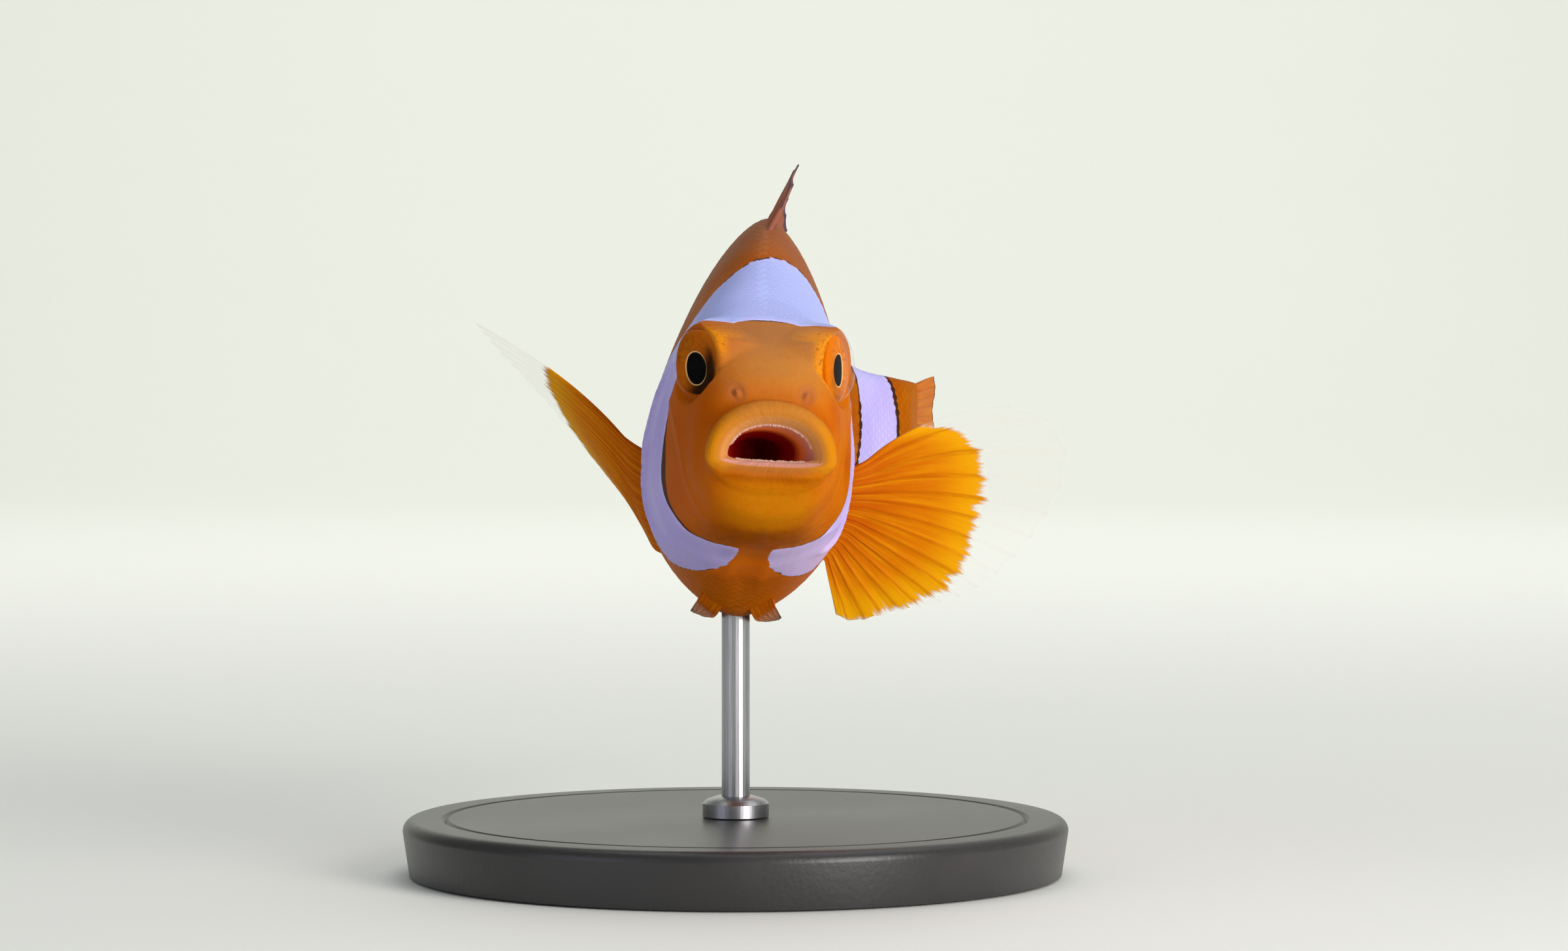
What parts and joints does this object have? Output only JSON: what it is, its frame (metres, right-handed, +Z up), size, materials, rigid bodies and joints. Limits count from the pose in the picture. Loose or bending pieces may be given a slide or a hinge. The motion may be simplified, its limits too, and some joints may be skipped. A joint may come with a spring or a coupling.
{
  "type": "clownfish",
  "caption": "Life-size clownfish model, swimming towards the viewer with its mouth open and its fins spread, held on a round stand by a short rod.",
  "frame": {"origin": "centre of the stand base's underside, straight below the rod", "axes": "+Z up, away from the floor; -Y the way the fish swims, towards its viewer; +X its left side"},
  "size_m": [0.052, 0.0756, 0.0561],
  "materials": {
    "skin_orange": "satin, moist",
    "skin_white": "satin, moist",
    "fin": "satin, translucent at the edges",
    "eye": "clear, polished",
    "stand": "satin black",
    "stand_rod": "fine brushed"
  },
  "bodies": {
    "root": {"head": "skin_orange", "lower_jaw": "skin_orange", "gill_cover_left": "skin_white", "gill_cover_right": "skin_white", "eye_left": "eye", "eye_right": "eye", "trunk_front": "skin_orange", "trunk_middle": "skin_white", "trunk_rear": "skin_orange", "tail_base": "skin_white", "dorsal_fin_spiny": "fin", "dorsal_fin_soft": "fin", "anal_fin": "fin", "tail_fin": "fin", "pectoral_fin_left": "fin", "pectoral_fin_right": "fin", "pelvic_fin_left": "fin", "pelvic_fin_right": "fin", "stand_base": "stand", "stand_rod": "stand_rod"}
  },
  "joints": []
}
